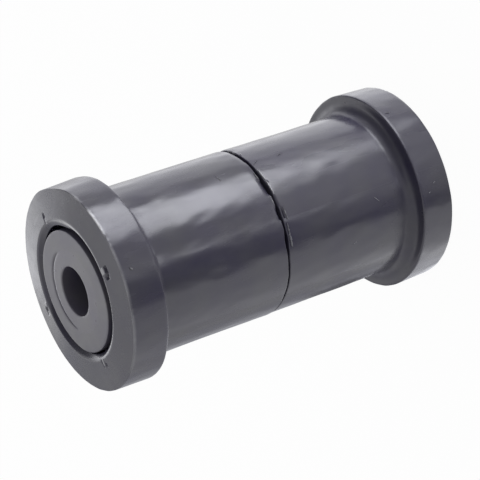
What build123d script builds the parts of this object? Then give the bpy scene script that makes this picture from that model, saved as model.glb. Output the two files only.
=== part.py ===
from build123d import *
import os

# Rubber metal bush, standing on one end. Millimetres and degrees, +Z along the bolt.
# The origin is the centre of the ring on which the lower flange's lip stands.

# Bolt tube
TUBE_LENGTH = 97.4
BORE_DIA = 12.5
TUBE_WALL = 4.25
BORE_CHAMFER = 0.3
TUBE_BEVEL = 0.15

# Rubber ring bonded to the tube
CORE_WALL = 5.0
CORE_BEVEL = 0.15
CORE_EDGE_BEVEL = 0.2

# Body of a moulded half, which the housing grips: a little thicker at the seam
BODY_DIA = 43.0
BODY_TAPER = 0.1
SEAM_GAP = 0.5
SEAM_EDGE_BEVEL = 0.4

# Flange of a moulded half: its shoulder, then a rim that narrows towards the face
SHOULDER_WIDTH = 4.6
ROOT_RADIUS = 3.0
RIM_LENGTH = 9.3
RIM_DRAFT = 0.2
SHOULDER_EDGE_BEVEL = 0.25
RIM_EDGE_BEVEL = 0.25

# Face of the flange: a cone that falls from the lip's crest to the rim
FACE_FALL = 1.05

# Relief groove between the core and a moulded half, and the lip that falls into it in two slopes.
# The lip's crest stands a little proud of the bolt tube's end.
GROOVE_WIDTH = 0.9
GROOVE_DEPTH = 12.0
GROOVE_FLOOR_BEVEL = 0.4
LIP_PROUD = 0.15
LIP_WIDTH = 1.3
LIP_DROP = 1.2
LIP_BROW_WIDTH = 0.45
LIP_BROW_DROP = 0.2
LIP_MOUTH_BEVEL = 0.2

# Mould marks on the flange face: a flat tab level with the lip's crest, then a shallow pocket
MARK_COUNT = 4
TAB_SETBACK = 1.2
TAB_LENGTH = 1.6
TAB_WIDTH = 2.2
POCKET_LENGTH = 1.5
POCKET_WIDTH = 2.6
POCKET_DEPTH = 0.7

# Radii and heights that several pieces share
bore_radius = BORE_DIA / 2
tube_radius = bore_radius + TUBE_WALL
core_radius = tube_radius + CORE_WALL
groove_radius = core_radius + GROOVE_WIDTH
body_radius = BODY_DIA / 2
shoulder_radius = body_radius + SHOULDER_WIDTH
rim_radius = shoulder_radius - RIM_DRAFT
tube_bottom = LIP_PROUD
tube_top = tube_bottom + TUBE_LENGTH
crest_height = tube_top + LIP_PROUD
mid_height = crest_height / 2
seam_height = mid_height + SEAM_GAP / 2
mouth_height = crest_height - LIP_DROP
rim_height = crest_height - FACE_FALL
shoulder_height = rim_height - RIM_LENGTH
groove_floor_height = mouth_height - GROOVE_DEPTH


def nearest_corner(section, corner):
    """The vertex of a section that lies at the given radius and height."""
    return section.vertices().sort_by_distance(Vector(corner[0], corner[1]))[0]


def rounded(section, corner, radius):
    """Round one corner of a section."""
    return fillet(nearest_corner(section, corner), radius)


def bevelled(section, corner, leg):
    """Cut one corner of a section with equal legs."""
    return chamfer(nearest_corner(section, corner), leg)


def turned(section):
    """Turn a section, drawn as radius and height, about the bolt axis."""
    return revolve(Plane.XZ * section, Axis.Z)


def ring_section(inner, outer):
    """Rectangular section of a ring as long as the bolt tube."""
    corners = [(inner, tube_bottom), (outer, tube_bottom), (outer, tube_top), (inner, tube_top)]
    return make_face(Polyline(corners, close=True))


def inner_sleeve():
    """Steel tube for the bolt: chamfered mouths, bevelled outer edges at both ends."""
    section = ring_section(bore_radius, tube_radius)
    for height in (tube_bottom, tube_top):
        section = bevelled(section, (bore_radius, height), BORE_CHAMFER)
        section = bevelled(section, (tube_radius, height), TUBE_BEVEL)
    return turned(section)


def core_ring():
    """Rubber ring bonded to the tube: its bevel and the tube's make the fine joint line."""
    section = ring_section(tube_radius, core_radius)
    for height in (tube_bottom, tube_top):
        section = bevelled(section, (tube_radius, height), CORE_BEVEL)
        section = bevelled(section, (core_radius, height), CORE_EDGE_BEVEL)
    return turned(section)


def half_section():
    """Section of the upper moulded half: body, drafted flange, coned face, lip and groove wall."""
    crest = (groove_radius + LIP_WIDTH, crest_height)
    brow = (groove_radius + LIP_WIDTH - LIP_BROW_WIDTH, crest_height - LIP_BROW_DROP)
    mouth = (groove_radius, mouth_height)
    groove_corner = (groove_radius, groove_floor_height)
    groove_foot = (core_radius, groove_floor_height)
    seam_inner = (core_radius, seam_height)
    seam_edge = (body_radius + BODY_TAPER, seam_height)
    root = (body_radius, shoulder_height)
    shoulder_edge = (shoulder_radius, shoulder_height)
    rim_edge = (rim_radius, rim_height)
    lip = Polyline(crest, brow, mouth, groove_corner, groove_foot, seam_inner)
    side = Polyline(seam_inner, seam_edge, root, shoulder_edge, rim_edge, crest)
    section = make_face(lip + side)
    section = rounded(section, root, ROOT_RADIUS)
    section = bevelled(section, seam_edge, SEAM_EDGE_BEVEL)
    section = bevelled(section, shoulder_edge, SHOULDER_EDGE_BEVEL)
    section = bevelled(section, rim_edge, RIM_EDGE_BEVEL)
    section = bevelled(section, mouth, LIP_MOUTH_BEVEL)
    return bevelled(section, groove_corner, GROOVE_FLOOR_BEVEL)


def block(inner, length, width, bottom, top):
    """Upright block on the +X side, from the inner radius outwards."""
    return Pos(inner + length / 2, 0, (bottom + top) / 2) * Box(length, width, top - bottom)


def mark_tab():
    """Flat tab from just inside the lip's crest, raised where the face falls away."""
    inner = groove_radius + TAB_SETBACK
    return block(inner, TAB_LENGTH, TAB_WIDTH, mouth_height, crest_height)


def mark_pocket():
    """Shallow pocket just outside the tab, open to the face."""
    inner = groove_radius + TAB_SETBACK + TAB_LENGTH
    return block(inner, POCKET_LENGTH, POCKET_WIDTH, crest_height - POCKET_DEPTH, crest_height)


def upper_half():
    """Upper moulded half: the turned form with its mould marks evenly round the flange face."""
    half = turned(half_section())
    for index in range(MARK_COUNT):
        turn = Rot(0, 0, 360 / MARK_COUNT * index)
        half = half + turn * mark_tab() - turn * mark_pocket()
    return half


def turned_over(half):
    """The same moulding from the other side: turned over about X at the middle of the tube."""
    middle = Pos(0, 0, mid_height)
    return middle * Rot(180, 0, 0) * middle.inverse() * half


def main():
    upper = upper_half()
    pieces = {
        "inner_sleeve": inner_sleeve(),
        "core_ring": core_ring(),
        "upper_rubber_half": upper,
        "lower_rubber_half": turned_over(upper),
    }
    os.makedirs("parts", exist_ok=True)
    for name, piece in pieces.items():
        export_step(piece, f"parts/{name}.step")


main()
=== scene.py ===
import math
from types import SimpleNamespace

import bpy
import numpy as np
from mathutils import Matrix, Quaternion, Vector


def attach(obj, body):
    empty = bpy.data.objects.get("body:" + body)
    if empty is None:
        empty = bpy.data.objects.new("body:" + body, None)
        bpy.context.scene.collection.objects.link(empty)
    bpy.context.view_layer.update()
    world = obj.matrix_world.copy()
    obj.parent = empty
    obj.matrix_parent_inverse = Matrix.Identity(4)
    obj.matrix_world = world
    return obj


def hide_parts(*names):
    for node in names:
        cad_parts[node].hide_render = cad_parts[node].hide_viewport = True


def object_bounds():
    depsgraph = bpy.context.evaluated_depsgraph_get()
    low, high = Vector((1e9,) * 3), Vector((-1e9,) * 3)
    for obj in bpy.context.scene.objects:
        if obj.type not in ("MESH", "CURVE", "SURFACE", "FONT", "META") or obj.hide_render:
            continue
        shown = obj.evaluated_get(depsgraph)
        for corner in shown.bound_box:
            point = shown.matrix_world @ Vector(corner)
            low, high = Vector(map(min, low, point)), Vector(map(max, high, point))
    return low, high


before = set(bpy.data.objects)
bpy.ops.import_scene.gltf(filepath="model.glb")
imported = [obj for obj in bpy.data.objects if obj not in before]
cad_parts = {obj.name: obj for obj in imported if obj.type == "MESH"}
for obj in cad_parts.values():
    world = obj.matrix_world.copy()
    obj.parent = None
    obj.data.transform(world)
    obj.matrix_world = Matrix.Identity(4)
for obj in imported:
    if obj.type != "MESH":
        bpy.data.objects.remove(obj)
cad_low, cad_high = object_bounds()

MM = 0.001
CENTRE = Vector((0, 0, (cad_low[2] + cad_high[2]) / 2))

# Camera: rolled, so that the upright bush lies in the picture as it does in the photograph
CAMERA_AT = Vector((0.429752, -0.054401, 0.292265))
CAMERA_AIM = Vector((-0.00060, -0.00158, 0.04956))
CAMERA_ROLL = -109.29
CAMERA_LENS = 147.25
CAMERA_SENSOR = 36

# World and floor: a white light table in plain light
WHITE = (1, 1, 1, 1)
WORLD_LIGHT = 0.55
FLOOR_SIZE = 6.0
FLOOR_GLOW = 0.965
FLOOR_GREY = 0.95

# Moulded half, in millimetres, as in the CAD but with rounds in place of its bevels
SEAM_GAP = 0.5
SEAM_ROUND = 0.25
BODY_RADIUS = 21.5
BODY_TAPER = 0.1
SHOULDER_WIDTH = 4.6
SHOULDER_ROUND = 0.3
ROOT_ROUND = 3.0
RIM_LENGTH = 9.3
RIM_DRAFT = 0.2
RIM_ROUND = 0.15
FACE_FALL = 1.05
CORE_RADIUS = 15.5
GROOVE_RADIUS = 16.4
GROOVE_DEPTH = 12.0
LIP_WIDTH = 1.3
LIP_DROP = 1.2
MOUTH_ROUND = 0.3
CREST_ROUND = 1.2

# Tube and core ring, as in the CAD
BORE_RADIUS = 6.25
TUBE_RADIUS = 10.5
TUBE_HALF_LENGTH = 48.7
BORE_ROUND = 0.3
JOINT_ROUND = 0.2
CORE_ROUND = 0.2

# Radii and heights above mid-length that several forms share
SHOULDER_RADIUS = BODY_RADIUS + SHOULDER_WIDTH
RIM_RADIUS = SHOULDER_RADIUS - RIM_DRAFT
CREST_RADIUS = GROOVE_RADIUS + LIP_WIDTH
CREST_HEIGHT = CENTRE.z / MM
MOUTH_HEIGHT = CREST_HEIGHT - LIP_DROP
RIM_HEIGHT = CREST_HEIGHT - FACE_FALL
SHOULDER_HEIGHT = RIM_HEIGHT - RIM_LENGTH

# Azimuths below are in degrees from the side that faces the camera
CAMERA_AZIMUTH = -7.2
AROUND = 700


# Camera

def aim(thing, back, roll=0.0):
    """Turn a thing's local -Z against the direction back, then roll it about that line."""
    thing.rotation_mode = "QUATERNION"
    turn = Quaternion((0, 0, 1), math.radians(roll))
    thing.rotation_quaternion = back.to_track_quat("Z", "Y") @ turn


def make_camera():
    """The photograph's camera, as its ellipses and edges give it."""
    data = bpy.data.cameras.new("camera")
    data.lens = CAMERA_LENS
    data.sensor_width = CAMERA_SENSOR
    camera = bpy.data.objects.new("camera", data)
    bpy.context.scene.collection.objects.link(camera)
    camera.location = CAMERA_AT
    aim(camera, CAMERA_AT - CAMERA_AIM, CAMERA_ROLL)
    bpy.context.scene.camera = camera


# Lights: softboxes, bright panels, and cards that only reflections see

LIGHT_TINT = (0.97, 0.98, 1.04)


def towards(azimuth, elevation):
    """Unit direction from the bush, by azimuth from +X and elevation."""
    a = math.radians(azimuth)
    e = math.radians(elevation)
    return Vector((math.cos(e) * math.cos(a), math.cos(e) * math.sin(a), math.sin(e)))


def softbox(name, azimuth, elevation, distance, width, height, level):
    """Area lamp that faces the bush. Its level is its brightness against plain white."""
    data = bpy.data.lights.new(name, "AREA")
    data.shape = "RECTANGLE"
    data.size = width
    data.size_y = height
    data.energy = level * math.pi * width * height
    data.color = LIGHT_TINT
    lamp = bpy.data.objects.new(name, data)
    bpy.context.scene.collection.objects.link(lamp)
    back = towards(azimuth, elevation)
    lamp.location = CENTRE + back * distance
    aim(lamp, back)
    lamp.visible_camera = False


def flat_thing(name, corners):
    """Flat polygon in the scene, from its corners in its own plane, with an empty material."""
    mesh = bpy.data.meshes.new(name)
    mesh.from_pydata([(x, y, 0) for x, y in corners], [], [tuple(range(len(corners)))])
    thing = bpy.data.objects.new(name, mesh)
    bpy.context.scene.collection.objects.link(thing)
    material = bpy.data.materials.new(name)
    material.use_nodes = True
    material.node_tree.nodes.clear()
    mesh.materials.append(material)
    return thing, material.node_tree


def rectangle(width, height):
    """Corners of a rectangle about its middle."""
    w = width / 2
    h = height / 2
    return [(-w, -h), (w, -h), (w, h), (-w, h)]


def panel(name, azimuth, elevation, distance, corners, level, lights):
    """Evenly bright panel that faces the bush: it gives light, or only shows in reflections."""
    plane, tree = flat_thing(name, corners)
    back = towards(azimuth, elevation)
    plane.location = CENTRE + back * distance
    aim(plane, back)
    plane.visible_camera = False
    plane.visible_diffuse = lights
    plane.visible_shadow = False
    glow = tree.nodes.new("ShaderNodeEmission")
    glow.inputs["Color"].default_value = (*LIGHT_TINT, 1)
    glow.inputs["Strength"].default_value = level
    out = tree.nodes.new("ShaderNodeOutputMaterial")
    tree.links.new(glow.outputs[0], out.inputs["Surface"])


# Corners of the panels that aren't rectangles, in metres to the right of and above the middle
MAIN_PANEL = [
    (-0.11, -0.03), (0.10, -0.03), (0.20, 0.035), (0.222, 0.18), (-0.235, 0.18), (-0.215, 0.035),
]
LOW_PANEL = [(-0.03, -0.115), (0.03, -0.115), (0.08, -0.04), (-0.08, -0.04)]
DARK_CARD = [
    (-0.153, -0.25), (-0.03, -0.25), (-0.03, -0.03), (0.153, -0.02), (0.153, 0.25), (-0.153, 0.25),
]

# Rows of panels and cards: name, azimuth, elevation, distance, corners, level
PANELS = [
    ("main_panel", 51, -29, 0.60, MAIN_PANEL, 9.4),
    ("low_panel", 51, -29, 0.60, LOW_PANEL, 5.0),
]
CARDS = [
    ("dark_card", -30, -29, 0.50, DARK_CARD, 0.36),
    ("high_card", 62, 50, 0.80, rectangle(2.00, 0.75), 0.25),
    ("edge_card", 118, 14, 0.72, rectangle(0.50, 0.40), 0.25),
    ("rim_card", 168, -11, 0.80, rectangle(0.50, 0.24), 0.1),
    ("low_card", -166, -34, 0.58, rectangle(0.26, 0.06), 0.15),
    ("side_card", -156, -29, 0.60, rectangle(0.48, 0.50), 0.65),
    ("face_card", -164, 8, 0.80, rectangle(0.55, 0.46), 0.6),
]

# Rows of softboxes: name, azimuth, elevation, distance, width, height, level
SOFTBOXES = [
    ("strip_softbox", -8, -26.5, 0.60, 0.09, 0.07, 5.0),
    ("side_softbox", -81, -29, 0.60, 0.72, 0.34, 0.55),
    ("low_softbox", -142, -51, 0.50, 0.45, 0.24, 1.1),
    ("low_back_softbox", 106, -45, 0.80, 0.36, 0.28, 0.45),
    ("low_strip_softbox", 10, -37, 0.60, 0.13, 0.12, 1.8),
    ("back_softbox", 118, -20, 0.80, 0.71, 0.90, 0.80),
    ("face_softbox", 151, 14, 0.80, 0.63, 0.40, 1.0),
    ("top_softbox", 173, 64, 0.90, 0.80, 0.70, 0.4),
]


def make_lights():
    """Every panel, softbox and card from its row."""
    for row in PANELS:
        panel(*row, lights=True)
    for row in SOFTBOXES:
        softbox(*row)
    for row in CARDS:
        panel(*row, lights=False)


# World and floor

def combine(tree, operation, first, second):
    """Math node on two outputs."""
    node = tree.nodes.new("ShaderNodeMath")
    node.operation = operation
    tree.links.new(first, node.inputs[0])
    tree.links.new(second, node.inputs[1])
    return node.outputs[0]


def mixed_shaders(tree, factor, first, second, out):
    """Send the mix of two shaders to the surface of an output node."""
    mix = tree.nodes.new("ShaderNodeMixShader")
    tree.links.new(factor, mix.inputs["Fac"])
    tree.links.new(first.outputs[0], mix.inputs[1])
    tree.links.new(second.outputs[0], mix.inputs[2])
    tree.links.new(mix.outputs[0], out.inputs["Surface"])


def background_rays(tree):
    """One for rays that see the background: from the camera, a gloss or through glass."""
    rays = tree.nodes.new("ShaderNodeLightPath").outputs
    gloss = combine(tree, "MAXIMUM", rays["Is Glossy Ray"], rays["Is Transmission Ray"])
    return combine(tree, "MAXIMUM", rays["Is Camera Ray"], gloss)


def make_world():
    """White all round for the camera and for reflections, dimmer as a light."""
    world = bpy.data.worlds.new("studio")
    bpy.context.scene.world = world
    world.use_nodes = True
    tree = world.node_tree
    tree.nodes.clear()
    plain = tree.nodes.new("ShaderNodeBackground")
    plain.inputs["Color"].default_value = WHITE
    plain.inputs["Strength"].default_value = WORLD_LIGHT
    white = tree.nodes.new("ShaderNodeBackground")
    white.inputs["Color"].default_value = WHITE
    out = tree.nodes.new("ShaderNodeOutputWorld")
    mixed_shaders(tree, background_rays(tree), plain, white, out)


def make_floor():
    """White light table: it holds the bush's shadow, and lets light from below through."""
    floor, tree = flat_thing("floor", rectangle(FLOOR_SIZE, FLOOR_SIZE))
    floor.location.z = cad_low[2]
    floor.visible_glossy = False
    floor.visible_shadow = False
    matt = tree.nodes.new("ShaderNodeBsdfDiffuse")
    matt.inputs["Color"].default_value = (FLOOR_GREY, FLOOR_GREY, FLOOR_GREY, 1)
    glow = tree.nodes.new("ShaderNodeEmission")
    path = tree.nodes.new("ShaderNodeLightPath")
    share = tree.nodes.new("ShaderNodeMath")
    share.operation = "MULTIPLY"
    share.inputs[1].default_value = FLOOR_GLOW
    tree.links.new(path.outputs["Is Camera Ray"], share.inputs[0])
    out = tree.nodes.new("ShaderNodeOutputMaterial")
    mixed_shaders(tree, share.outputs[0], matt, glow, out)


# Turned forms

def corner_arc(before, corner, after, radius, steps):
    """Points of the round that replaces a corner of a profile."""
    p, c, q = (np.array(v, float) for v in (before, corner, after))
    u = (p - c) / np.linalg.norm(p - c)
    v = (q - c) / np.linalg.norm(q - c)
    half_angle = math.acos(float(np.clip(u @ v, -1, 1))) / 2
    reach = radius / math.tan(half_angle)
    middle = c + (u + v) / np.linalg.norm(u + v) * radius / math.sin(half_angle)
    start = c + u * reach - middle
    end = c + v * reach - middle
    turn = math.acos(float(np.clip(start @ end / radius ** 2, -1, 1)))
    points = []
    for t in np.linspace(0, 1, steps):
        mixed = start * math.sin((1 - t) * turn) + end * math.sin(t * turn)
        points.append(tuple(middle + mixed / math.sin(turn)))
    return points


def spread(start, end, steps, power=1.0):
    """Points between two others, both left out; a power over one crowds them towards the end."""
    part = 1 - (1 - np.linspace(0, 1, steps + 2)[1:-1]) ** power
    return [tuple(np.array(start) + (np.array(end) - start) * t) for t in part]


def half_profile():
    """Radii and heights above mid-length, from the groove's floor over the face to the seam."""
    floor_in = (CORE_RADIUS, MOUTH_HEIGHT - GROOVE_DEPTH)
    floor_out = (GROOVE_RADIUS, MOUTH_HEIGHT - GROOVE_DEPTH)
    mouth = (GROOVE_RADIUS, MOUTH_HEIGHT)
    crest = (CREST_RADIUS, CREST_HEIGHT)
    rim = (RIM_RADIUS, RIM_HEIGHT)
    shoulder = (SHOULDER_RADIUS, SHOULDER_HEIGHT)
    root = (BODY_RADIUS, SHOULDER_HEIGHT)
    seam = (BODY_RADIUS + BODY_TAPER, SEAM_GAP / 2)
    seam_in = (CORE_RADIUS, SEAM_GAP / 2)
    corners = [mouth, crest, rim, shoulder, root, seam, seam_in]

    # Corners after the mouth: the round, the points on the way, their crowding, the round's points
    rounds = [
        (CREST_ROUND, 3, 1.0, 9), (RIM_ROUND, 28, 1.0, 6), (SHOULDER_ROUND, 14, 1.0, 4),
        (ROOT_ROUND, 2, 1.0, 12), (SEAM_ROUND, 34, 2.0, 6),
    ]

    # The last point on the groove's wall would lie inside the mouth's round
    points = [floor_in, floor_out] + spread(floor_out, mouth, steps=5, power=2.0)[:-1]
    points += corner_arc(floor_out, mouth, crest, MOUTH_ROUND, steps=6)
    for index, (radius, on_way, power, on_round) in enumerate(rounds):
        arc = corner_arc(*corners[index:index + 3], radius, on_round)
        points += spread(points[-1], arc[0], on_way, power) + arc
    points += spread(points[-1], seam_in, steps=2) + [seam_in]
    return np.array(points)


def turned_mesh(name, rings, inward):
    """Closed skin from rings of points: the last ring joins the first again."""
    count, around = rings.shape[:2]
    ring = np.arange(count)[:, None] * around
    next_ring = (ring + around) % (count * around)
    step = np.arange(around)[None, :]
    after = (step + 1) % around
    quads = np.stack([ring + step, ring + after, next_ring + after, next_ring + step], -1)
    quads = quads.reshape(-1, 4)
    if not inward:
        quads = quads[:, ::-1]
    mesh = bpy.data.meshes.new(name)
    mesh.from_pydata(rings.reshape(-1, 3).tolist(), [], quads.tolist())
    mesh.polygons.foreach_set("use_smooth", [True] * len(mesh.polygons))
    mesh.update()
    return mesh


def ring_points(azimuth, radius, height):
    """Points in metres, from azimuths, and radii and heights above mid-length in millimetres."""
    a = np.radians(azimuth + CAMERA_AZIMUTH)
    points = np.stack([radius * np.cos(a), radius * np.sin(a), height + 0 * a], -1) * MM
    points[..., 2] += CENTRE.z
    return points


def shifted(points, amount, azimuth):
    """Move points sideways by millimetres towards an azimuth."""
    turn = math.radians(azimuth + CAMERA_AZIMUTH)
    points[..., 0] += amount * MM * math.cos(turn)
    points[..., 1] += amount * MM * math.sin(turn)
    return points


def turned_grid(profile):
    """Azimuth, radius and height of every point of a turned form, from its profile."""
    azimuth = np.linspace(0, 360, AROUND, endpoint=False)[None, :]
    return azimuth, profile[:, :1] + 0 * azimuth, profile[:, 1:] + 0 * azimuth


def set_values(mesh, name, values):
    """Give each point of a mesh a value that its material reads by name."""
    attribute = mesh.attributes.new(name, "FLOAT", "POINT")
    attribute.data.foreach_set("value", np.asarray(values, np.float32).ravel())


def placed(name, mesh, node, material):
    """Put a piece on the bush's body, in place of a CAD node where one is named."""
    piece = bpy.data.objects.new(name, mesh)
    bpy.context.scene.collection.objects.link(piece)
    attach(piece, "root")
    if node:
        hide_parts(node)
    mesh.materials.append(material)


# Noise and windows

def ripple(azimuth, seed, low, high):
    """Smooth noise round the axis, of unit spread, with between low and high waves a turn."""
    draw = np.random.RandomState(seed)
    total = 0
    for waves in range(low, high):
        total = total + np.sin(np.radians(azimuth) * waves + draw.uniform(0, 2 * math.pi))
    return total * math.sqrt(2 / (high - low))


def swell(azimuth, height, seed, low, high, pitch, count):
    """Smooth noise over a side, of unit spread: waves round the axis that lean along it."""
    draw = np.random.RandomState(seed)
    total = 0
    for _ in range(count):
        waves = draw.randint(low, high)
        along = draw.uniform(-1, 1) * 2 * math.pi / pitch
        phase = draw.uniform(0, 2 * math.pi)
        total = total + np.sin(np.radians(azimuth) * waves + height * along + phase)
    return total * math.sqrt(2 / count)


def box_window(value, low, high, soft):
    """One between low and high, with smooth ends."""
    rise = np.clip((value - low) / soft + 0.5, 0, 1)
    fall = np.clip((high - value) / soft + 0.5, 0, 1)
    return (rise * rise * (3 - 2 * rise)) * (fall * fall * (3 - 2 * fall))


def near(value, centre, width):
    """One at the centre, falling off smoothly over the width."""
    return np.exp(-((value - centre) / width) ** 2)


def bumps(azimuth, table):
    """Sum of smooth bumps round the axis, each given by centre, width and size."""
    total = 0 * azimuth
    for centre, width, size in table:
        away = (azimuth - centre + 180) % 360 - 180
        total = total + near(away, 0, width) * size
    return total


# Relief of the moulded halves, in millimetres

AXES = [quarter - CAMERA_AZIMUTH for quarter in (0, 90, 180, 270)]

# Rows of tears, rim_flash, rim_dents, lip_fills and lip_highlight: azimuth, width, size
# Rows of seam_dents: first azimuth, last azimuth, start from the seam's edge, end from it, depth
# Rows of marks: azimuth, then patches by inner radius, outer radius, left side, right side, rise
# Rows of dull_streaks and dull_bands: low end, high end, softness
NEAR_HALF = SimpleNamespace(
    name="near_half",
    node="upper_rubber_half",
    side=1,
    seed=40,
    setback=0.06,
    tears=[
        (36, 7, 0.22), (25, 6, 0.18), (4.5, 5, 0.12), (-15, 6, 0.30), (60, 16, 0.38),
        (-40, 18, -0.10), (140, 6, 0.6), (200, 10, 0.4),
    ],
    seam_dents=[(18, 31, 0, 1.25, 0.65), (-2, 9, 0, 0.75, 0.5), (120, 128, 0, 0.8, 0.4)],
    marks=[
        (7.0, [
            (18.0, 20.0, -1.1, 0.5, 0.34), (19.9, 20.6, -1.8, 0.5, -1.8),
            (19.2, 20.2, -2.5, -1.6, -0.9),
        ]),
        (98.8, [(19.3, 20.3, -0.45, 0.45, -0.32), (17.8, 19.3, -0.4, 0.4, -0.10)]),
        (187.2, [
            (18.3, 19.6, -1.8, -0.8, 0.30), (19.1, 20.3, -0.9, 0.0, -0.50),
            (19.3, 20.4, 0.0, 1.1, -0.12),
        ]),
        (277.5, [
            (18.0, 19.7, -0.3, 0.3, 0.38), (17.9, 19.8, -1.0, -0.4, -0.25),
            (19.2, 20.0, 0.4, 0.9, -0.28),
        ]),
    ],
    # The rim's flash rows also set its edge's paleness: partly wear, partly painted highlight
    rim_flash=[(-22, 38, 0.030), (22, 9, 0.07), (36, 8, 0.08), (50, 6, 0.03)],
    rim_dents=[(178, 36, 0.5), (80, 14, 0.5)],
    lip_fills=[(72, 24, 0.72), (-152, 26, -0.85)],
    # The lip's rows place a painted highlight, a pale line along the lip's crest
    lip_highlight=[(53, 26, 1.1), (20, 14, 0.7), (-62, 15, 0.5)],
    # The tab value paints highlights on the raised mould marks
    tab_highlight=1.7,
    rim_dull=0.15,
    dull_streaks=[],
    dull_bands=[],
)
FAR_HALF = SimpleNamespace(
    name="far_half",
    node="lower_rubber_half",
    side=-1,
    seed=60,
    setback=0.16,
    tears=[
        (24, 16, 0.08), (3, 8, 0.12), (-15, 8, 0.22), (-66, 12, -0.05), (82, 14, 0.9),
        (160, 9, 0.4), (250, 6, 0.35),
    ],
    seam_dents=[
        (-2, 7, 0.50, 1.1, 0.6), (8, 17, 0, 0.6, 0.35), (26.5, 28.6, 0.35, 1.0, 0.4),
        (-30, -22, 0, 0.4, 0.2),
    ],
    marks=[(at, [(18.0, 19.2, -1.0, 1.0, 0.10), (19.3, 20.8, -1.2, 1.2, -0.50)]) for at in AXES],
    rim_flash=[(60, 20, 0.02)],
    rim_dents=[(80, 14, 0.15)],
    lip_fills=[],
    lip_highlight=[],
    tab_highlight=0,
    rim_dull=0,
    dull_streaks=[(-16, 22, 8), (37, 47, 5)],
    dull_bands=[(34, 39, 3)],
)

# Seam: its own line, how far its lean and tears reach along the body, how a tear pulls its edge in
SEAM_RISE = 0.08
SEAM_LEAN = 0.54
SEAM_WANDER = 0.04
SEAM_SEED = 3
SEAM_WAVES = (5, 14)
SEAM_LEAN_REACH = 30.0
TEAR_REACH = 2.0
TEAR_LIMIT = 0.4
TEAR_PULL = 0.35
PULL_REACH = 0.9
JITTER = 0.02
JITTER_LIMIT = 1.5
JITTER_SEED = 11
JITTER_WAVES = (10, 50)
DENT_SOFTNESS = 3.5

# Marks and face
MARK_SOFTNESS = 0.4
FACE_RIPPLE = 0.02
FACE_WAVES = (2, 7)
FACE_BAND = (18.5, 24.5, 2.0)

# Rim: its edge's flash and the edge's paleness, partly wear and partly painted highlight, how its
# dents fade towards the shoulder, the shoulder's lean
ZONE_MARGIN = 0.3
EDGE_SINK = 0.05
EDGE_WIDTH = 0.22
FLASH_MEAN = 0.6
FLASH_SPREAD = 0.6
FLASH_LIMIT = 1.6
FLASH_WAVES = (30, 120)
FLASH_RISE = 0.8
EDGE_PALENESS = 14
EDGE_PALE_MEAN = 0.7
EDGE_PALE_SPREAD = 0.4
EDGE_PALE_WAVES = (6, 24)
DENT_FADE = 0.6
SHOULDER_LEAN = [(-80, 30, 0.35)]
SHOULDER_LEAN_REACH = 3

# Lip: where its fills act, its line of painted highlight, and how high a tab stands before its top
# is painted as highlight
LIP_MARGIN = 0.4
WALL_MARGIN = 0.01
LIP_LINE_RADIUS = GROOVE_RADIUS + 1.2
LIP_LINE_WIDTH = 0.45
TAB_HIGHLIGHT_RISE = 0.1

# Side: long and short swells, the ragged edge of its dull streaks, the rim's dull band
LONG_SWELL = 0.03
LONG_WAVES = dict(low=3, high=12, pitch=40, count=8)
SHORT_SWELL = 0.014
SHORT_WAVES = dict(low=10, high=40, pitch=8, count=30)
RAGGED_EDGE = 1.2
RAGGED_WAVES = dict(low=8, high=40, pitch=12, count=12)
RIM_BAND = (BODY_RADIUS + 2, 30, 2)

# Whole bush: its bend towards an azimuth, by heights and amounts, and its gap to the CAD's box
BEND_HEIGHTS = [-39, -36, -22, 0, 22, 38]
BEND_AMOUNTS = [0.11, 0.30, 0.30, 0.16, 0.06, 0]
BEND_AZIMUTH = -90
CAD_CLEARANCE = 0.005


def seam_line(azimuth):
    """Height of the seam's middle: the halves aren't pressed on quite square."""
    wander = SEAM_WANDER * ripple(azimuth, SEAM_SEED, *SEAM_WAVES)
    return SEAM_RISE - SEAM_LEAN * np.sin(np.radians(azimuth)) + wander


def seam_relief(half, azimuth, radius, height):
    """Radius and height with the half's seam end moved: it leans, and is torn and dented."""
    from_edge = np.clip(height - SEAM_GAP / 2, 0, None)
    lean = half.side * seam_line(azimuth) * np.clip(1 - from_edge / SEAM_LEAN_REACH, 0, 1)
    tears = bumps(azimuth, half.tears)
    jitter = ripple(azimuth, JITTER_SEED + half.side, *JITTER_WAVES)
    jitter = np.clip(jitter, -JITTER_LIMIT, JITTER_LIMIT) * JITTER
    moved = height + lean + (tears + jitter) * np.exp(-from_edge / TEAR_REACH)
    dent = np.clip(tears, 0, TEAR_LIMIT) * TEAR_PULL * near(from_edge, 0, PULL_REACH)
    for first, last, low, high, depth in half.seam_dents:
        ramp = np.clip((high - from_edge) / (high - low), 0, 1) * (from_edge >= low)
        dent = dent + depth * box_window(azimuth, first, last, DENT_SOFTNESS) * ramp
    outer = np.clip((radius - GROOVE_RADIUS) / (BODY_RADIUS - GROOVE_RADIUS), 0, 1)
    return radius - dent * outer, moved


def mark_relief(azimuth, radius, at, patches):
    """Rise of one mould mark's patches."""
    side = radius * np.sin(np.radians(azimuth - at))
    along = radius * np.cos(np.radians(azimuth - at))
    rise = 0
    for inner, outer, left, right, height in patches:
        across = box_window(side, left, right, MARK_SOFTNESS)
        rise = rise + height * box_window(along, inner, outer, MARK_SOFTNESS) * across
    return rise


def face_relief(half, azimuth, radius):
    """Rise of the face: a slight ripple, and the mould marks."""
    rise = FACE_RIPPLE * ripple(azimuth, half.seed, *FACE_WAVES) * box_window(radius, *FACE_BAND)
    for at, patches in half.marks:
        rise = rise + mark_relief(azimuth, radius, at, patches)
    return rise


def lip_fill(half, azimuth, radius, height):
    """Rise of the lip's slope where it is filled, or its fall where it is worn down."""
    fallen = CREST_HEIGHT - height
    on_lip = (radius > GROOVE_RADIUS - WALL_MARGIN) & (radius < CREST_RADIUS)
    on_lip = on_lip & (fallen < LIP_DROP + LIP_MARGIN)
    return fallen * bumps(azimuth, half.lip_fills) * on_lip


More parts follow.
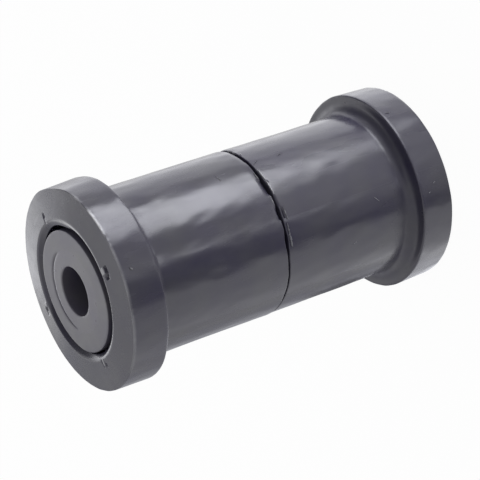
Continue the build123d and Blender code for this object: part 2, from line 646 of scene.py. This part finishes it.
def side_relief(half, azimuth, radius, height):
    """Rise of the side: long and short swells, and the rim's dents."""
    swells = LONG_SWELL * swell(azimuth, height, half.seed + 1, **LONG_WAVES)
    swells = swells + SHORT_SWELL * swell(azimuth, height, half.seed + 2, **SHORT_WAVES)
    outwards = np.clip((radius - BODY_RADIUS) / SHOULDER_WIDTH, 0, 1)
    upwards = np.clip(1 + (height - RIM_HEIGHT) / RIM_LENGTH * DENT_FADE, 0, 1)
    return swells - bumps(azimuth, half.rim_dents) * outwards * upwards - half.setback


def edge_flash(half, azimuth):
    """Size of the flash on the rim's edge, ragged along it."""
    ragged = FLASH_MEAN + FLASH_SPREAD * ripple(azimuth, half.seed + 3, *FLASH_WAVES)
    return bumps(azimuth, half.rim_flash) * np.clip(ragged, 0, FLASH_LIMIT)


def edge_wear_and_highlight(half, azimuth):
    """Paleness of the rim's edge, patchy along its flash: partly wear, partly painted highlight."""
    patchy = EDGE_PALE_MEAN + EDGE_PALE_SPREAD * ripple(azimuth, half.seed + 5, *EDGE_PALE_WAVES)
    return EDGE_PALENESS * bumps(azimuth, half.rim_flash) * np.clip(patchy, 0, 1)


def dullness(half, azimuth, radius, height):
    """Where the side of a half is duller than the rest."""
    ragged = azimuth + RAGGED_EDGE * swell(azimuth, height, half.seed + 4, **RAGGED_WAVES)
    dull = half.rim_dull * box_window(radius, *RIM_BAND)
    for row in half.dull_streaks:
        dull = dull + box_window(ragged, *row)
    for row in half.dull_bands:
        dull = dull + box_window(height, *row)
    return dull


def rubber_half(half, material):
    """One moulded half: its section turned about the axis, then moved by all its relief."""
    azimuth, radius, height = turned_grid(half_profile())
    on_face = (height > RIM_HEIGHT - ZONE_MARGIN) & (radius > GROOVE_RADIUS + ZONE_MARGIN)
    on_side = radius > BODY_RADIUS - ZONE_MARGIN
    at_edge = near(height, RIM_HEIGHT - EDGE_SINK, EDGE_WIDTH) * (radius > RIM_RADIUS - ZONE_MARGIN)
    flash = edge_flash(half, azimuth) * at_edge
    face = face_relief(half, azimuth, radius) * on_face + lip_fill(half, azimuth, radius, height)
    lean = bumps(azimuth, SHOULDER_LEAN) * near(height, SHOULDER_HEIGHT, SHOULDER_LEAN_REACH)

    new_radius, new_height = seam_relief(half, azimuth, radius, height)
    side = np.where(on_side, side_relief(half, azimuth, radius, height), 0)
    new_radius = new_radius + side + flash
    new_height = new_height + face + flash * FLASH_RISE - lean
    new_radius = np.minimum(new_radius, cad_high[0] / MM - CAD_CLEARANCE)
    new_height = np.minimum(new_height, CREST_HEIGHT) * half.side
    bend = np.interp(new_height, BEND_HEIGHTS, BEND_AMOUNTS)
    points = shifted(ring_points(azimuth, new_radius, new_height), bend, BEND_AZIMUTH)
    mesh = turned_mesh(half.name, points, half.side < 0)

    # Painted highlight: a pale line along the lip's crest, where the lip's rows place it
    lip_line = near(radius, LIP_LINE_RADIUS, LIP_LINE_WIDTH) * on_face
    lip_line = lip_line * bumps(azimuth, half.lip_highlight)
    # Painted highlight on the raised mould marks, paler the higher they stand
    tabs = half.tab_highlight * np.clip(face - TAB_HIGHLIGHT_RISE, 0, None) * on_face * (radius > CREST_RADIUS)
    # Paleness for the material: the rim edge's wear and painted highlight, and painted highlights
    # on the lip and the mould marks
    set_values(mesh, "wear_and_highlight", np.clip(edge_wear_and_highlight(half, azimuth) * at_edge + lip_line + tabs, 0, 1))
    set_values(mesh, "dull", dullness(half, azimuth, radius, height) * on_side)
    placed(half.name, mesh, half.node, material)


# Tube and core ring: off centre at the upper end, two flattened sides, a joint line partly open

CORE_SHIFT = 0.28
CORE_SHIFT_AZIMUTH = -94
FLAT_AZIMUTH = 20
FLAT_DEPTH = 0.42
FLAT_WIDTH = 0.25
FLAT_REACH = 0.3
JOINT_WINDOW = (110, 230, 30)
JOINT_DEPTH = 0.15
JOINT_REACH = 0.5
JOINT_EDGE = 0.01
WALL_END = 1


def sleeve_profile(inner, inner_round, outer, outer_round):
    """Section of a ring about the axis with its corners rounded, from the inner wall all round."""
    top = TUBE_HALF_LENGTH
    upper = corner_arc((inner, 0), (inner, top), (outer, top), inner_round, steps=6)
    upper += spread((inner + inner_round, top), (outer - outer_round, top), steps=8)
    upper += corner_arc((inner, top), (outer, top), (outer, 0), outer_round, steps=6)
    upper = np.array(upper)
    wall_top = top - WALL_END
    inner_wall = spread((inner, -wall_top), (inner, wall_top), steps=20)
    outer_wall = spread((outer, wall_top), (outer, -wall_top), steps=8)
    return np.array(inner_wall + upper.tolist() + outer_wall + (upper[::-1] * (1, -1)).tolist())


def sleeve(name, node, profile, material):
    """Tube or core ring, from its section."""
    top = TUBE_HALF_LENGTH
    azimuth, radius, height = turned_grid(profile)
    opened = box_window(azimuth, *JOINT_WINDOW)
    joint = near(radius, TUBE_RADIUS, JOINT_ROUND) * (np.abs(height) > top - JOINT_REACH)
    fallen = (top - np.abs(height)) * opened + JOINT_DEPTH * joint * opened
    height = np.where(joint > JOINT_EDGE, np.sign(height) * (top - fallen), height)
    flats = np.clip(np.cos(2 * np.radians(azimuth - FLAT_AZIMUTH)), 0, 1) * FLAT_DEPTH
    radius = radius - flats * (radius > CORE_RADIUS - FLAT_WIDTH) * (height > top - FLAT_REACH)
    shift = np.clip(height / top, 0, 1) * CORE_SHIFT
    points = shifted(ring_points(azimuth, radius, height), shift, CORE_SHIFT_AZIMUTH)
    placed(name, turned_mesh(name, points, False), node, material)


# Slivers: torn flash along the seam, its paleness a painted glint, and light scuffs, as thin ragged
# ridges

# Rows of slivers: paleness, as wear on the scuffs and as painted glint on the seam flash, the two
# ends by azimuth and height, half width, rise
# The seam flash's paleness is painted glint: the light its torn ridges catch
SEAM_FLASH = [
    (1.0, (17, -0.80), (28, -0.86), 0.16, 0.16),
    (1.0, (28, -0.88), (39, -0.86), 0.16, 0.16),
    (0.05, (-3.5, -0.95), (-10, -0.92), 0.28, 0.12),
    (0.07, (-8, -0.92), (-21, -0.98), 0.32, 0.14),
    (0.35, (7, -1.55), (-2, -1.60), 0.09, 0.06),
    (0.5, (10, 0.52), (17, 0.64), 0.08, 0.05),
    (0.5, (31, 0.80), (37, 0.66), 0.07, 0.05),
    (0.8, (58.5, -1.15), (61, -1.3), 0.10, 0.06),
]
SCUFFS = [
    (0.4, (-6.8, -27.6), (-10.5, -28.8), 0.09, 0.05),
    (0.3, (-34.2, -19.0), (-32.5, -20.6), 0.07, 0.04),
    (0.4, (44.6, 10.3), (39.5, 9.8), 0.08, 0.04),
    (0.4, (45.2, -8.5), (45.9, -9.9), 0.07, 0.04),
    (0.3, (43.8, -1.0), (46.8, -2.7), 0.07, 0.04),
    (0.1, (0.4, 44.8), (2.0, 45.3), 0.28, 0.05),
    (0.4, (40.1, -40.2), (39.2, -41.2), 0.09, 0.05),
    (0.4, (-8.4, -43.4), (-9.0, -42.9), 0.09, 0.05),
    (0.4, (-13.1, -41.5), (-13.5, -41.0), 0.08, 0.05),
]

# Rings of a ridge, how deep its feet and root lie, how its crest stands, its ragged outline
SLIVER_STEP = 0.25
FEWEST_RINGS = 5
FOOT_DEPTH = 0.05
ROOT_DEPTH = 0.2
CREST_LIFT = 0.03
CREST_LEAN = 0.2
TAPER_RATE = 4
THINNEST = 0.02
RAGGED_RANGE = (0.45, 1.15)
WANDER_RANGE = (-0.5, 0.5)


def surface_radius(height):
    """Radius of the bush's side at a height from mid-length."""
    taper = BODY_TAPER * (1 - min(abs(height) / SHOULDER_HEIGHT, 1))
    return BODY_RADIUS + taper + SHOULDER_WIDTH * (abs(height) > SHOULDER_HEIGHT)


def sliver(start, end, half_width, rise, seed):
    """Rings of four points along a ridge between two places, each an azimuth and a height."""
    draw = np.random.RandomState(seed)
    length = math.hypot(math.radians(end[0] - start[0]) * BODY_RADIUS, end[1] - start[1])
    count = max(FEWEST_RINGS, int(length / SLIVER_STEP))
    rings = []
    for k in range(count):
        t = k / (count - 1)
        taper = min(1, TAPER_RATE * t, TAPER_RATE * (1 - t))
        taper = taper * draw.uniform(*RAGGED_RANGE) + THINNEST
        azimuth = start[0] + (end[0] - start[0]) * t
        height = start[1] + (end[1] - start[1]) * t + half_width * draw.uniform(*WANDER_RANGE)
        radius = surface_radius(height) - FOOT_DEPTH
        across = half_width * taper
        rings.append([
            ring_points(azimuth, radius, height + across),
            ring_points(azimuth, radius + CREST_LIFT + rise * taper, height + across * CREST_LEAN),
            ring_points(azimuth, radius, height - across),
            ring_points(azimuth, radius - ROOT_DEPTH, height),
        ])
    return np.array(rings)


def slivers(name, table, seed, material):
    """One piece from a table of ridges, each a tube of four-point rings shut by its ends."""
    points = []
    faces = []
    wear_and_highlight = []
    for index, (worn_and_highlight, *shape) in enumerate(table):
        rings = sliver(*shape, seed + index)
        base = len(points)
        points += rings.reshape(-1, 3).tolist()
        wear_and_highlight += [worn_and_highlight] * (4 * len(rings))
        for k in range(len(rings) - 1):
            for i in range(4):
                j = (i + 1) % 4
                a = base + 4 * k
                faces.append((a + i, a + j, a + 4 + j, a + 4 + i))
        last = base + 4 * (len(rings) - 1)
        faces.append((base + 3, base + 2, base + 1, base))
        faces.append((last, last + 1, last + 2, last + 3))
    mesh = bpy.data.meshes.new(name)
    mesh.from_pydata(points, [], faces)
    mesh.update()
    set_values(mesh, "wear_and_highlight", wear_and_highlight)
    placed(name, mesh, None, material)


# Materials

SKIN_COLOUR = (0.035, 0.033, 0.050)
TORN_COLOUR = (0.05, 0.05, 0.06)
CORE_COLOUR = (0.074, 0.071, 0.086)
TUBE_COLOUR = (0.076, 0.071, 0.092)
# Pale colours for the mesh values: worn edges and painted highlights on the halves, pale scuffs and
# painted glints on the seam flash
WORN_AND_HIGHLIGHT_COLOUR = (0.50, 0.50, 0.52)
SCUFF_AND_GLINT_COLOUR = (0.75, 0.75, 0.78)

# Clouds shade each colour from violet to grey, by these shares of it
VIOLET_CLOUD = (0.82, 0.78, 0.98)
GREY_CLOUD = (1.22, 1.25, 1.10)

# Sizes of the noises, and how far the long ones are drawn out along the bush
CLOUD_SIZE = 9 * MM
PATCH_SIZE = 10 * MM
STREAK_SIZE = 2.5 * MM
STREAK_STRETCH = 5
COARSE_SIZE = 2.2 * MM
COARSE_STRETCH = 2.5
FINE_SIZE = 0.5 * MM

# Roughness that dull places add, and the depth of coarse and fine bumps against the grain
DULL_ROUGHNESS = 0.12
COARSE_DEPTH = 5 * MM
FINE_DEPTH = 0.5 * MM


def noise(tree, place, size, stretch=1.0, detail=3.0):
    """Noise with features of about the given size, drawn out along the bush by the stretch."""
    mapping = tree.nodes.new("ShaderNodeMapping")
    mapping.inputs["Scale"].default_value = (1 / size, 1 / size, 1 / size / stretch)
    tree.links.new(place, mapping.inputs["Vector"])
    texture = tree.nodes.new("ShaderNodeTexNoise")
    texture.inputs["Scale"].default_value = 1.0
    texture.inputs["Detail"].default_value = detail
    tree.links.new(mapping.outputs[0], texture.inputs["Vector"])
    return texture.outputs["Fac"]


def fitted(tree, value, low, high, at_low=0.3, at_high=0.7):
    """Map a noise's middle range to the values between low and high."""
    fit = tree.nodes.new("ShaderNodeMapRange")
    fit.inputs["From Min"].default_value = at_low
    fit.inputs["From Max"].default_value = at_high
    fit.inputs["To Min"].default_value = low
    fit.inputs["To Max"].default_value = high
    tree.links.new(value, fit.inputs["Value"])
    return fit.outputs["Result"]


def mesh_value(tree, name):
    """A value that set_values gave the mesh, zero where it gave none."""
    attribute = tree.nodes.new("ShaderNodeAttribute")
    attribute.attribute_name = name
    return attribute.outputs["Fac"]


def tinted(colour, shares):
    """Colour for a socket, each channel scaled by its share."""
    return (*[c * share for c, share in zip(colour, shares)], 1)


def colour_mix(tree, factor):
    """Mix node for colours, its factor linked."""
    mix = tree.nodes.new("ShaderNodeMix")
    mix.data_type = "RGBA"
    tree.links.new(factor, mix.inputs["Factor"])
    return mix


def bump(tree, height, depth):
    """Bump node for a height, with its depth."""
    node = tree.nodes.new("ShaderNodeBump")
    node.inputs["Distance"].default_value = depth
    tree.links.new(height, node.inputs["Height"])
    return node


def rubber(name, colour, worn_and_highlight, roughness, streak, grain=0.002):
    """Half-gloss rubber: clouded colour, streaky gloss, fine grain, pale where it is worn and where
    a highlight or glint is painted on.
    """
    material = bpy.data.materials.new(name)
    material.use_nodes = True
    tree = material.node_tree
    shader = tree.nodes["Principled BSDF"]
    place = tree.nodes.new("ShaderNodeTexCoord").outputs["Object"]

    clouds = colour_mix(tree, fitted(tree, noise(tree, place, CLOUD_SIZE), 0, 1))
    clouds.inputs["A"].default_value = tinted(colour, VIOLET_CLOUD)
    clouds.inputs["B"].default_value = tinted(colour, GREY_CLOUD)
    # Pale where the mesh values say: wear, painted highlights and painted glints
    pale = colour_mix(tree, mesh_value(tree, "wear_and_highlight"))
    pale.inputs["B"].default_value = (*worn_and_highlight, 1)
    tree.links.new(clouds.outputs["Result"], pale.inputs["A"])
    tree.links.new(pale.outputs["Result"], shader.inputs["Base Color"])

    streaks = fitted(tree, noise(tree, place, STREAK_SIZE, STREAK_STRETCH), -streak, streak)
    patches = fitted(tree, noise(tree, place, PATCH_SIZE), roughness - streak, roughness + streak)
    haze = fitted(tree, mesh_value(tree, "dull"), 0, DULL_ROUGHNESS, at_low=0, at_high=1)
    gloss = combine(tree, "ADD", combine(tree, "ADD", streaks, patches), haze)
    tree.links.new(gloss, shader.inputs["Roughness"])

    lumps = noise(tree, place, COARSE_SIZE, COARSE_STRETCH, detail=2)
    coarse = bump(tree, lumps, grain * COARSE_DEPTH)
    fine = bump(tree, noise(tree, place, FINE_SIZE, detail=2), grain * FINE_DEPTH)
    tree.links.new(coarse.outputs[0], fine.inputs["Normal"])
    tree.links.new(fine.outputs[0], shader.inputs["Normal"])
    return material


def main():
    make_camera()
    make_world()
    make_floor()
    make_lights()
    skin = rubber("moulded_rubber", SKIN_COLOUR, WORN_AND_HIGHLIGHT_COLOUR, roughness=0.23, streak=0.045)
    torn = rubber("torn_rubber", TORN_COLOUR, SCUFF_AND_GLINT_COLOUR, roughness=0.30, streak=0.02, grain=0.004)
    core = rubber("core_rubber", CORE_COLOUR, WORN_AND_HIGHLIGHT_COLOUR, roughness=0.33, streak=0.02)
    tube = rubber("tube_coat", TUBE_COLOUR, WORN_AND_HIGHLIGHT_COLOUR, roughness=0.30, streak=0.02)
    rubber_half(NEAR_HALF, skin)
    rubber_half(FAR_HALF, skin)
    tube_section = sleeve_profile(BORE_RADIUS, BORE_ROUND, TUBE_RADIUS, JOINT_ROUND)
    core_section = sleeve_profile(TUBE_RADIUS, JOINT_ROUND, CORE_RADIUS, CORE_ROUND)
    sleeve("tube", "inner_sleeve", tube_section, tube)
    sleeve("core", "core_ring", core_section, core)
    slivers("seam_flash", SEAM_FLASH, seed=7, material=torn)
    slivers("scuffs", SCUFFS, seed=70, material=torn)
    bpy.context.scene.view_settings.view_transform = "Standard"


main()
